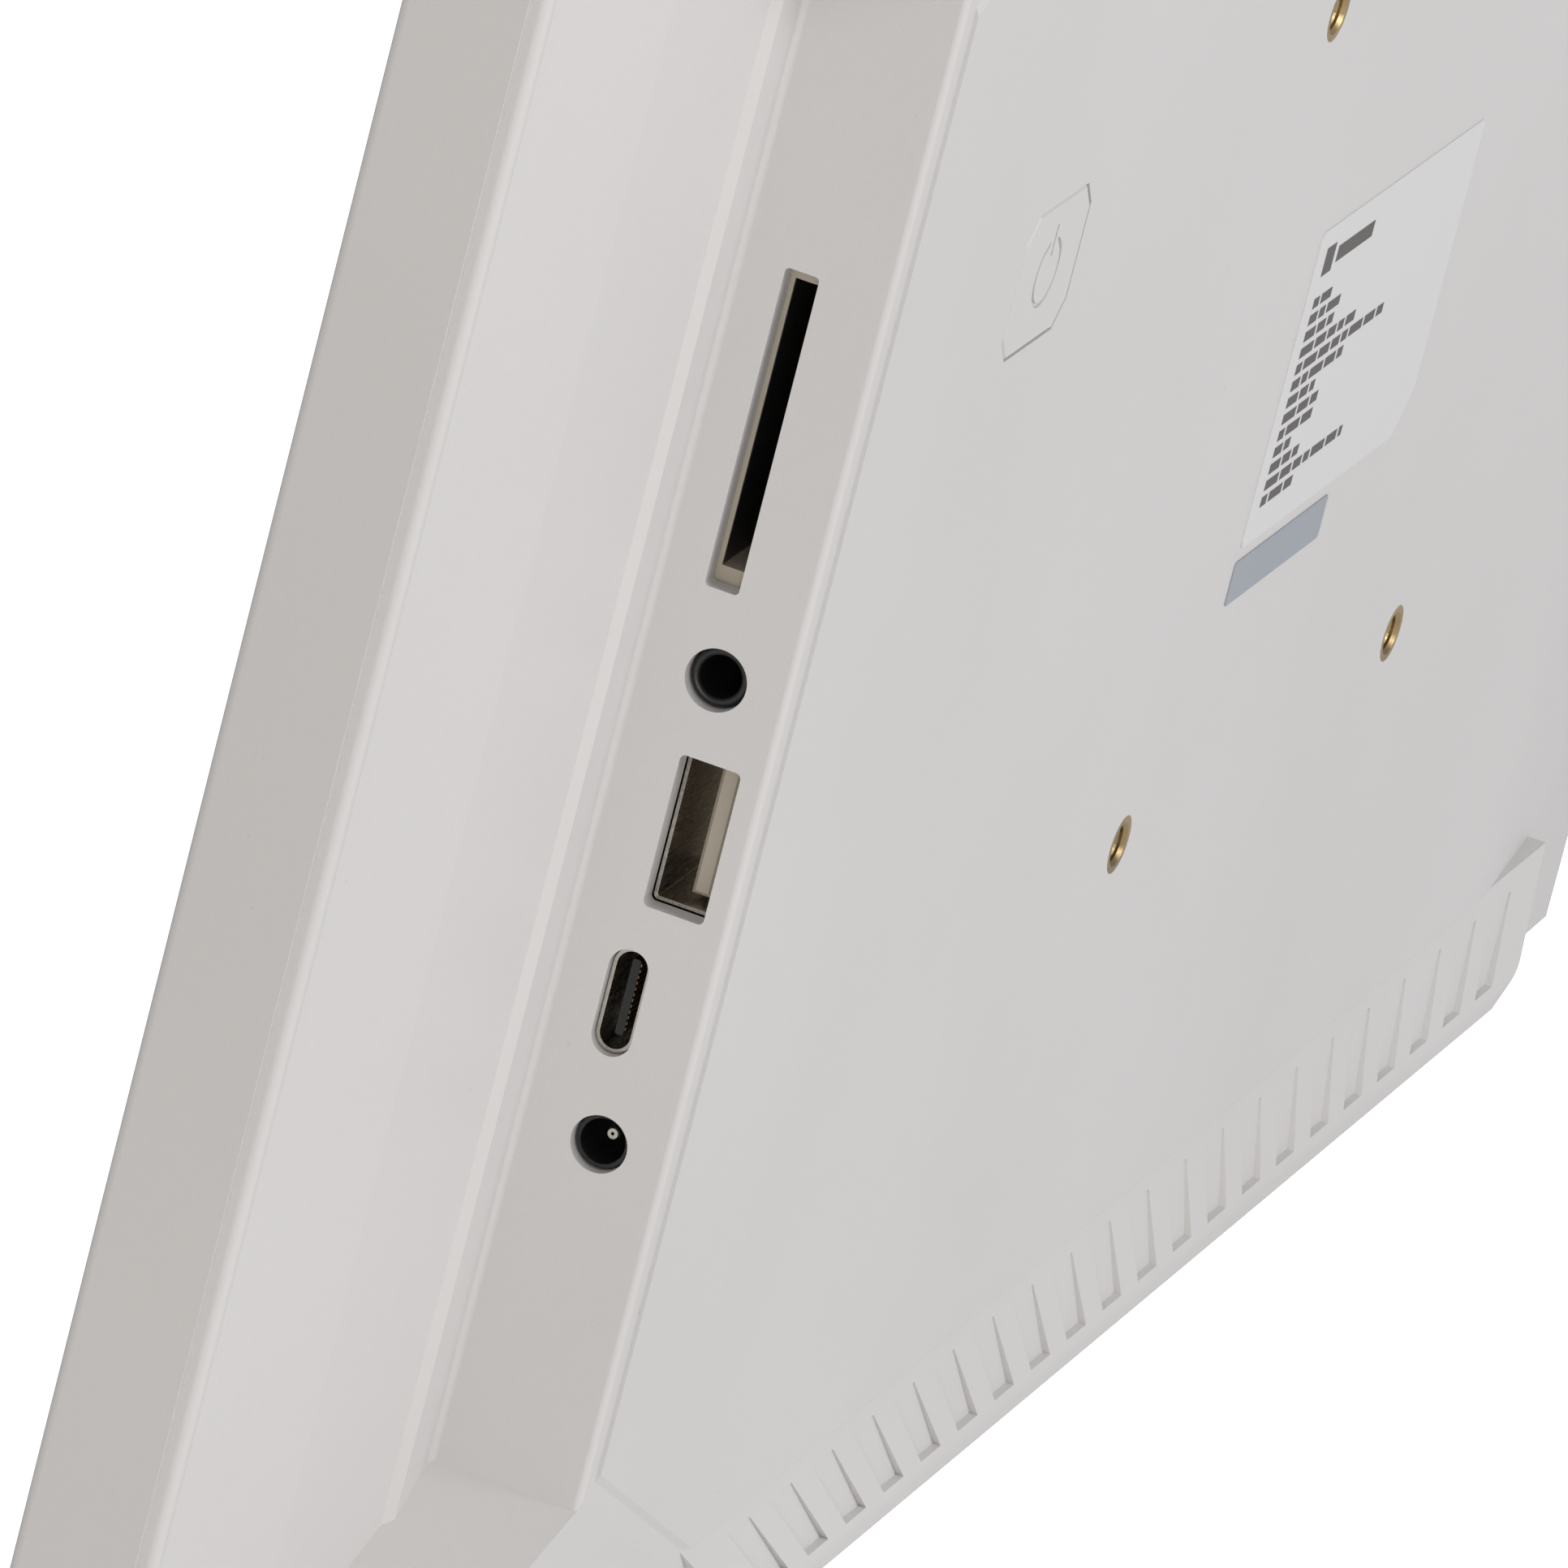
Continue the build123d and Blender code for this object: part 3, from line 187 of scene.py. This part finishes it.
def plastic(name, colour, shade, roughness=0.45, drift=0.06, grain=3200.0, depth=0.00002,
            dust=0.0, speck=(0.16, 0.15, 0.14, 1.0)):
    """Moulded plastic finish; dust mixes sparse dark specks into its colour."""
    material, tree, shader = new_material(name)
    surface = use_group(tree, moulded_surface, Colour=(*colour, 1.0), Shade=(*shade, 1.0),
                        Roughness=roughness, Drift=drift, Grain=grain)
    link(tree, surface, "Roughness", shader, "Roughness")
    relief(tree, surface, shader, depth)
    if dust:
        mask = use_group(tree, dust_specks, Amount=dust)
        mix = tree.nodes.new("ShaderNodeMix")
        mix.data_type = "RGBA"
        mix.inputs[7].default_value = speck
        link(tree, mask, "Mask", mix, "Factor")
        tree.links.new(surface.outputs["Colour"], mix.inputs[6])
        tree.links.new(mix.outputs[2], shader.inputs["Base Color"])
    else:
        link(tree, surface, "Colour", shader, "Base Color")
    return material


def wear(names, material):
    """Give CAD nodes their finish."""
    for name in names:
        data = nodes[name].data
        data.materials.clear()
        data.materials.append(material)


housing_white = plastic("housing_white", (0.60, 0.592, 0.588), (0.575, 0.567, 0.562),
                        roughness=0.5, dust=0.35)
wear(["rear_cover"], housing_white)
frame_white = plastic("frame_white", (0.585, 0.57, 0.558), (0.56, 0.546, 0.535),
                      roughness=0.46, grain=3800.0, depth=0.000015, dust=0.3)
wear(["front_frame"], frame_white)


# ------------------------------------------------------------------ power button
# A separate cap in the same plastic, polished a little by fingers, with the power sign
# engraved in it. Under it a small tactile switch stands on the board.
button_white = plastic("button_white", (0.6, 0.592, 0.586), (0.578, 0.57, 0.564),
                       roughness=0.4, grain=4200.0, depth=0.000012, dust=0.2)
wear(["power_button"], button_white)
black_epoxy = plastic("black_epoxy", (0.012, 0.012, 0.013), (0.02, 0.02, 0.02),
                      roughness=0.5, grain=5200.0, depth=0.00001)
wear(["switch_body", "processor", "memory_chips", "power_coils"], black_epoxy)
plunger_brown = plastic("plunger_brown", (0.16, 0.09, 0.05), (0.12, 0.07, 0.04), grain=5000.0,
                        depth=0.000008)
wear(["switch_plunger"], plunger_brown)


# ------------------------------------------------------------------ side sockets
# Card slot, audio jack, USB type A, USB type C and power inlet, soldered to the board's
# edge. Their shells are thin nickel-plated sheet around nylon bodies.
def make_rolled_metal():
    """Rolled or drawn metal: fine streaks along one way, and duller patches."""
    tree, given, result = shader_group(
        "rolled_metal",
        [("Colour", (0.7, 0.7, 0.7, 1.0)), ("Dull", (0.5, 0.5, 0.5, 1.0)), ("Roughness", 0.28)],
        [("Colour", "NodeSocketColor"), ("Roughness", "NodeSocketFloat"),
         ("Height", "NodeSocketFloat")],
    )
    streaks = noise(tree, 260.0, 4.0, stretch=(1.0, 14.0, 14.0))
    patches = noise(tree, 90.0, 3.0)
    tint = tree.nodes.new("ShaderNodeMix")
    tint.data_type = "RGBA"
    amount = spread(tree, patches, "Fac", 0.35, 0.7, 0.0, 1.0)
    link(tree, amount, "Result", tint, "Factor")
    tree.links.new(given.outputs["Colour"], tint.inputs[6])
    tree.links.new(given.outputs["Dull"], tint.inputs[7])
    tree.links.new(tint.outputs[2], result.inputs["Colour"])
    drift = spread(tree, streaks, "Fac", 0.3, 0.7, -0.07, 0.09)
    total = tree.nodes.new("ShaderNodeMath")
    total.operation = "ADD"
    link(tree, drift, "Result", total, 0)
    link(tree, given, "Roughness", total, 1)
    link(tree, total, "Value", result, "Roughness")
    link(tree, streaks, "Fac", result, "Height")
    return tree


rolled_metal = make_rolled_metal()


def metal(name, colour, dull, roughness=0.28, depth=0.000006):
    """Rolled or drawn metal finish."""
    material, tree, shader = new_material(name)
    shader.inputs["Metallic"].default_value = 1.0
    surface = use_group(tree, rolled_metal, Colour=(*colour, 1.0), Dull=(*dull, 1.0),
                        Roughness=roughness)
    link(tree, surface, "Colour", shader, "Base Color")
    link(tree, surface, "Roughness", shader, "Roughness")
    relief(tree, surface, shader, depth)
    return material


nickel_sheet = metal("nickel_sheet", (0.62, 0.58, 0.52), (0.42, 0.39, 0.35))
contact_gold = metal("contact_gold", (0.86, 0.62, 0.26), (0.6, 0.44, 0.2), roughness=0.24)
socket_black = plastic("socket_black", (0.008, 0.008, 0.009), (0.014, 0.014, 0.014),
                       roughness=0.36, grain=2600.0, depth=0.000012)
socket_ivory = plastic("socket_ivory", (0.47, 0.43, 0.35), (0.4, 0.36, 0.29),
                       roughness=0.42, grain=3000.0, depth=0.000012)
wear(["sd_socket_shell", "usb_a_shell", "usb_c_shell", "wifi_module"], nickel_sheet)
wear(["audio_jack", "dc_jack", "usb_c_tongue", "sd_slider"], socket_black)
wear(["usb_a_tongue", "sd_socket_base"], socket_ivory)
wear(["dc_pin"], metal("pin_nickel", (0.72, 0.69, 0.62), (0.5, 0.48, 0.44), roughness=0.3))


def new_piece(name, points, faces, material, smooth=False):
    """Mesh piece with its place in its vertices."""
    data = bpy.data.meshes.new(name)
    data.from_pydata(points, [], faces)
    data.materials.append(material)
    for face in data.polygons:
        face.use_smooth = smooth
    piece = bpy.data.objects.new(name, data)
    bpy.context.scene.collection.objects.link(piece)
    return piece


def box_mesh(low, high):
    """Corners and faces of a closed box, faces outwards."""
    xs, ys, zs = zip(low, high)
    points = [(x, y, z) for x in xs for y in ys for z in zs]
    faces = [(0, 1, 3, 2), (4, 6, 7, 5), (0, 4, 5, 1), (2, 3, 7, 6), (0, 2, 6, 4), (1, 5, 7, 3)]
    return points, faces


def ring_lip(name, centre, radius_out, radius_in, bulge, material, steps=64, rounds=10):
    """Rounded lip around a socket's mouth: half a torus section turned about +X."""
    middle = (radius_out + radius_in) / 2
    half = (radius_out - radius_in) / 2
    points, faces = [], []
    for i in range(steps):
        turn = 2 * pi * i / steps
        for j in range(rounds):
            bend = 2 * pi * j / rounds
            reach = middle + half * cos(bend)
            lift = bulge * sin(bend)
            points.append((centre[0] + lift, centre[1] + reach * cos(turn),
                           centre[2] + reach * sin(turn)))
    for i in range(steps):
        for j in range(rounds):
            a = i * rounds + j
            b = i * rounds + (j + 1) % rounds
            c = ((i + 1) % steps) * rounds + (j + 1) % rounds
            d = ((i + 1) % steps) * rounds + j
            faces.append((a, d, c, b))
    return new_piece(name, points, faces, material, smooth=True)


jack_y, jack_z = -6.5 * mm, 4.7 * mm
usb_a_y, usb_a_z = -5.15 * mm, -8.5 * mm
usb_c_y, usb_c_z = -7.5 * mm, -23.4 * mm
jack_centre = (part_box("audio_jack")[1].x, jack_y, jack_z)
jack_lip = ring_lip("jack_lip", jack_centre, 2.44 * mm, 1.82 * mm, 0.22 * mm, socket_black)
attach(jack_lip, "frame_body")


def repeat_tree(name):
    """Geometry tree: copies of one piece on a straight row of points, joined and finished."""
    tree = bpy.data.node_groups.new(name, "GeometryNodeTree")
    face = tree.interface
    face.new_socket("Geometry", in_out="INPUT", socket_type="NodeSocketGeometry")
    face.new_socket("Count", in_out="INPUT", socket_type="NodeSocketInt")
    face.new_socket("Start", in_out="INPUT", socket_type="NodeSocketVector")
    face.new_socket("Step", in_out="INPUT", socket_type="NodeSocketVector")
    face.new_socket("Finish", in_out="INPUT", socket_type="NodeSocketMaterial")
    face.new_socket("Geometry", in_out="OUTPUT", socket_type="NodeSocketGeometry")
    given, result = tree.nodes.new("NodeGroupInput"), tree.nodes.new("NodeGroupOutput")
    places = tree.nodes.new("GeometryNodeMeshLine")
    places.mode = "OFFSET"
    copies = tree.nodes.new("GeometryNodeInstanceOnPoints")
    solid = tree.nodes.new("GeometryNodeRealizeInstances")
    painted = tree.nodes.new("GeometryNodeSetMaterial")
    link(tree, given, "Count", places, "Count")
    link(tree, given, "Start", places, "Start Location")
    link(tree, given, "Step", places, "Offset")
    link(tree, places, "Mesh", copies, "Points")
    link(tree, given, "Geometry", copies, "Instance")
    link(tree, copies, "Instances", solid, "Geometry")
    link(tree, solid, "Geometry", painted, "Geometry")
    link(tree, given, "Finish", painted, "Material")
    link(tree, painted, "Geometry", result, "Geometry")
    return tree


row_of_copies = repeat_tree("row_of_copies")


def bake(piece, tree, values):
    """Run a geometry tree on a piece with its named inputs, and keep the plain mesh."""
    modifier = piece.modifiers.new("build", "NODES")
    modifier.node_group = tree
    for item in tree.interface.items_tree:
        if item.item_type == "SOCKET" and item.in_out == "INPUT" and item.name in values:
            modifier[item.identifier] = values[item.name]
    seen = piece.evaluated_get(bpy.context.evaluated_depsgraph_get())
    made = bpy.data.meshes.new_from_object(seen)
    piece.modifiers.remove(modifier)
    piece.data = made


def contact_row(name, low, high, count, start, step):
    """Row of equal gilt contacts; low and high are one bar's corners about its own point."""
    points, faces = box_mesh(low, high)
    piece = new_piece(name, points, faces, contact_gold)
    bake(piece, row_of_copies,
         {"Count": count, "Start": start, "Step": step, "Finish": contact_gold})
    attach(piece, "frame_body")


usb_a_front_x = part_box("usb_a_tongue")[1].x
usb_a_pitch, usb_a_count = 2.4 * mm, 4
contact_row("usb_a_contacts", (-8 * mm, -0.06 * mm, -0.55 * mm),
            (-0.6 * mm, 0.06 * mm, 0.55 * mm), usb_a_count,
            (usb_a_front_x, usb_a_y, usb_a_z - (usb_a_count - 1) / 2 * usb_a_pitch),
            (0, 0, usb_a_pitch))
usb_c_front_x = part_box("usb_c_tongue")[1].x
usb_c_pitch, usb_c_count = 0.5 * mm, 12
tongue_face = 0.37 * mm
for side, level in (("front", usb_c_y - tongue_face), ("back", usb_c_y + tongue_face)):
    contact_row(f"usb_c_contacts_{side}", (-4.2 * mm, -0.03 * mm, -0.12 * mm),
                (-0.3 * mm, 0.03 * mm, 0.12 * mm), usb_c_count,
                (usb_c_front_x, level, usb_c_z - (usb_c_count - 1) / 2 * usb_c_pitch),
                (0, 0, usb_c_pitch))

# Card slot: the socket's ivory body shows at both ends; a thin black sheet lies on its floor
# and draws it dark, and nine sprung contacts stand on it.
slot_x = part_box("sd_socket_shell")[1].x
card_floor_y = -8.94 * mm
dark_sheet_length, dark_sheet_thickness, dark_sheet_inset = 25.5 * mm, 0.06 * mm, 0.05 * mm
points, faces = box_mesh((slot_x - dark_sheet_length, card_floor_y, 13.3 * mm),
                         (slot_x - dark_sheet_inset, card_floor_y + dark_sheet_thickness, 37.5 * mm))
card_floor_dark_sheet = new_piece("card_floor_dark_sheet", points, faces, socket_black)
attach(card_floor_dark_sheet, "frame_body")
contact_row("card_contacts", (-7 * mm, -0.15 * mm, -0.4 * mm), (0, 0.15 * mm, 0.4 * mm), 9,
            (slot_x - 12 * mm, -8.7 * mm, 15.4 * mm), (0, 0, 2.5 * mm))


# ------------------------------------------------------------------ wall-mount inserts
# Four knurled brass inserts with an M4 thread are pressed into bosses behind the back.
# The knurl is hidden; the thread shows in the mouth as fine rings.
insert_brass = metal("insert_brass", (0.5, 0.37, 0.18), (0.24, 0.18, 0.1), roughness=0.38)
wear(["vesa_inserts"], insert_brass)
vesa_half = 37.5 * mm
steps, thread_out, thread_in, tall = 32, 1.66 * mm, 1.46 * mm, 0.3 * mm
thread_turns, thread_start, thread_pitch = 10, 0.9 * mm, 0.7 * mm
for across, x in (("port", vesa_half), ("far", -vesa_half)):
    for height, z in (("top", vesa_half), ("foot", -vesa_half)):
        points, faces = [], []
        for i in range(steps):
            turn = 2 * pi * i / steps
            for reach, lift in ((thread_out, -tall), (thread_in, 0), (thread_out, tall)):
                points.append((x + reach * cos(turn), lift, z + reach * sin(turn)))
        for i in range(steps):
            j = (i + 1) % steps
            for k in range(3):
                m = (k + 1) % 3
                faces.append((3 * i + k, 3 * i + m, 3 * j + m, 3 * j + k))
        thread = new_piece(f"thread_{across}_{height}", points, faces, insert_brass)
        bake(thread, row_of_copies,
             {"Count": thread_turns, "Start": (0, -thread_start, 0),
              "Step": (0, -thread_pitch, 0), "Finish": insert_brass})
        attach(thread, "frame_body")


# ------------------------------------------------------------------ labels
# A pale film label with neutral print bars in place of its wording, and a narrow silver
# sticker under it. Both are pressed flat on the back.
label_film = plastic("label_film", (0.63, 0.635, 0.635), (0.615, 0.62, 0.62), roughness=0.36,
                     drift=0.03, grain=1800.0, depth=0.000006)
sticker_silver = plastic("sticker_silver", (0.3, 0.33, 0.37), (0.27, 0.3, 0.34), roughness=0.38,
                         drift=0.04, grain=1800.0, depth=0.000008)
wear(["rating_label"], label_film)
wear(["serial_label"], sticker_silver)
print_grey = plastic("print_grey", (0.07, 0.064, 0.062), (0.09, 0.083, 0.08), roughness=0.5,
                     grain=2400.0, depth=0.000003)
label_low, label_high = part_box("rating_label")
ink_y = label_high.y + 0.015 * mm
line_lengths = (5.0, 9.5, 8.0, 15.0, 24.0, 14.0, 7.5, 9.5, 9.5, 5.0, 8.0, 21.0, 8.5)
first_line, line_pitch, line_height, margin = 6.5, 1.5, 0.95, 2.6
points, faces = [], []


def ink_bar(left, top, width, height):
    """Flat bar of print; left and top are from the label's corner, in millimetres."""
    x0 = label_high.x - left * mm
    x1 = x0 - width * mm
    z0 = label_high.z - top * mm
    z1 = z0 - height * mm
    start = len(points)
    points.extend([(x0, ink_y, z0), (x1, ink_y, z0), (x1, ink_y, z1), (x0, ink_y, z1)])
    faces.append((start, start + 1, start + 2, start + 3))


for number, length in enumerate(line_lengths):
    word, place = 0, 0.0
    while place < length - 0.6:
        width = min(1.6 + 1.3 * ((number * 5 + word * 3) % 4) / 2, length - place)
        ink_bar(margin + place, first_line + number * line_pitch, width, line_height)
        place += width + 0.55
        word += 1
ink_bar(margin, 1.9, 2.6, 2.6)
ink_bar(margin + 3.6, 2.5, 10.0, 1.5)
label_print = new_piece("label_print", points, faces, print_grey)
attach(label_print, "frame_body")


# ------------------------------------------------------------------ front glass and panel
# The picture side is a polished cover glass over a black printed border; with the frame
# off, the LCD behind it is a dark neutral grey.
def glass(name, colour, roughness):
    """Clear polished glass finish."""
    material, tree, shader = new_material(name)
    shader.inputs["Transmission Weight"].default_value = 1.0
    shader.inputs["IOR"].default_value = 1.5
    surface = use_group(tree, moulded_surface, Colour=(*colour, 1.0), Shade=(*colour, 1.0),
                        Roughness=roughness, Drift=0.01, Grain=400.0)
    link(tree, surface, "Colour", shader, "Base Color")
    link(tree, surface, "Roughness", shader, "Roughness")
    return material


wear(["cover_glass"], glass("cover_glass_clear", (0.97, 0.985, 0.98), 0.02))
wear(["border_mask"], plastic("border_ink", (0.006, 0.006, 0.007), (0.009, 0.009, 0.01),
                              roughness=0.3, grain=2000.0, depth=0.000004))
wear(["lcd_cell"], plastic("lcd_dark", (0.016, 0.017, 0.02), (0.02, 0.021, 0.024),
                           roughness=0.22, drift=0.02, grain=2600.0, depth=0.000002))
wear(["foam_gasket", "speaker_cone_left", "speaker_cone_right"],
     plastic("black_foam", (0.02, 0.02, 0.02), (0.035, 0.035, 0.035), roughness=0.85,
             grain=1400.0, depth=0.0001))


# ------------------------------------------------------------------ inside the housing
# Backlight sheets, steel tray, boards, speakers and leads. They are sealed in and keep
# their usual shop finishes.
wear(["light_guide", "optical_films", "reflector_sheet", "led_bar"],
     plastic("milky_acrylic", (0.8, 0.8, 0.78), (0.76, 0.76, 0.74), roughness=0.3,
             grain=1600.0, depth=0.000008))
wear(["mould_frame", "speaker_box_left", "speaker_box_right", "lead_sockets",
      "display_socket"], socket_black)
zinc_sheet = metal("zinc_sheet", (0.55, 0.56, 0.57), (0.42, 0.43, 0.44), roughness=0.36)
wear(["lcd_tray", "lcd_brackets"], zinc_sheet)
screw_steel = metal("screw_steel", (0.5, 0.5, 0.5), (0.34, 0.34, 0.34), roughness=0.3)
wear(["bracket_screws", "board_screws", "speaker_screws"], screw_steel)
wear(["capacitors", "heat_spreader"],
     metal("can_aluminium", (0.7, 0.7, 0.71), (0.55, 0.55, 0.56), roughness=0.32))
wear(["main_board", "timing_board"],
     plastic("board_green", (0.012, 0.09, 0.045), (0.02, 0.12, 0.06), roughness=0.35,
             grain=900.0, depth=0.00001))
wear(["display_cable"], plastic("ribbon_film", (0.6, 0.56, 0.46), (0.52, 0.48, 0.4),
                                roughness=0.35, grain=1200.0, depth=0.000006))
wear(["speaker_lead_left", "speaker_lead_right", "antenna_lead"],
     plastic("lead_jacket", (0.015, 0.015, 0.016), (0.03, 0.03, 0.03), roughness=0.4,
             grain=2200.0, depth=0.000008))
wear(["antenna"], contact_gold)


# ------------------------------------------------------------------ floor, light and camera
# A sweep of white paper under the frame's lower edge, lit so that it looks evenly white,
# a large soft light above and a warmer one beside the ports, and an even sky.
floor_level = solid_bounds[0][2]
floor_paper = plastic("floor_paper", (0.93, 0.93, 0.93), (0.92, 0.92, 0.92), roughness=0.9,
                      drift=0.02, grain=60.0, depth=0.0002)
paper_shader = floor_paper.node_tree.nodes["Principled BSDF"]
paper_shader.inputs["Emission Color"].default_value = (1.0, 1.0, 1.0, 1.0)
paper_ray = floor_paper.node_tree.nodes.new("ShaderNodeLightPath")
link(floor_paper.node_tree, paper_ray, "Is Camera Ray", paper_shader, "Emission Strength")
far = 30
floor = new_piece("floor", [(-far, -far, floor_level), (far, -far, floor_level),
                            (far, far, floor_level), (-far, far, floor_level)], [(0, 1, 2, 3)],
                  floor_paper)

world = bpy.data.worlds.new("studio")
world.use_nodes = True
world.node_tree.nodes["Background"].inputs["Color"].default_value = (1.0, 1.0, 1.0, 1.0)
world.node_tree.nodes["Background"].inputs["Strength"].default_value = 0.46
bpy.context.scene.world = world


def softbox(name, place, aim, size, power, colour):
    """Square soft light at a place, facing its aim."""
    lamp = bpy.data.lights.new(name, "AREA")
    lamp.shape = "SQUARE"
    lamp.size = size
    lamp.energy = power
    lamp.color = colour
    holder = bpy.data.objects.new(name, lamp)
    bpy.context.scene.collection.objects.link(holder)
    holder.location = place
    facing = Vector(aim) - Vector(place)
    holder.rotation_euler = facing.to_track_quat("-Z", "Y").to_euler()


softbox("key", (0.3, 2.0, 1.2), (0.05, 0, 0), 1.0, 26.0, (1.0, 0.985, 1.0))
softbox("side", (2.2, 0.5, 0.3), (0.15, 0, 0), 0.8, 12.5, (1.0, 0.93, 0.87))

camera_data = bpy.data.cameras.new("camera")
camera_data.lens = 531.5
camera_data.sensor_width = 36.0
camera_data.clip_start = 0.05
camera_data.clip_end = 100.0
camera = bpy.data.objects.new("camera", camera_data)
bpy.context.scene.collection.objects.link(camera)
sight = Vector((-0.9137, -0.2422, -0.3263)).normalized()
level_right = sight.cross(Vector((0, 0, 1))).normalized()
level_up = level_right.cross(sight)
roll = radians(14.53)
right = cos(roll) * level_right + sin(roll) * level_up
up = cos(roll) * level_up - sin(roll) * level_right
turn = Matrix((right, up, -sight)).transposed().to_4x4()
camera.matrix_world = Matrix.Translation((1.8107, 0.4407, 0.5909)) @ turn
bpy.context.scene.camera = camera
bpy.context.scene.view_settings.view_transform = "Standard"
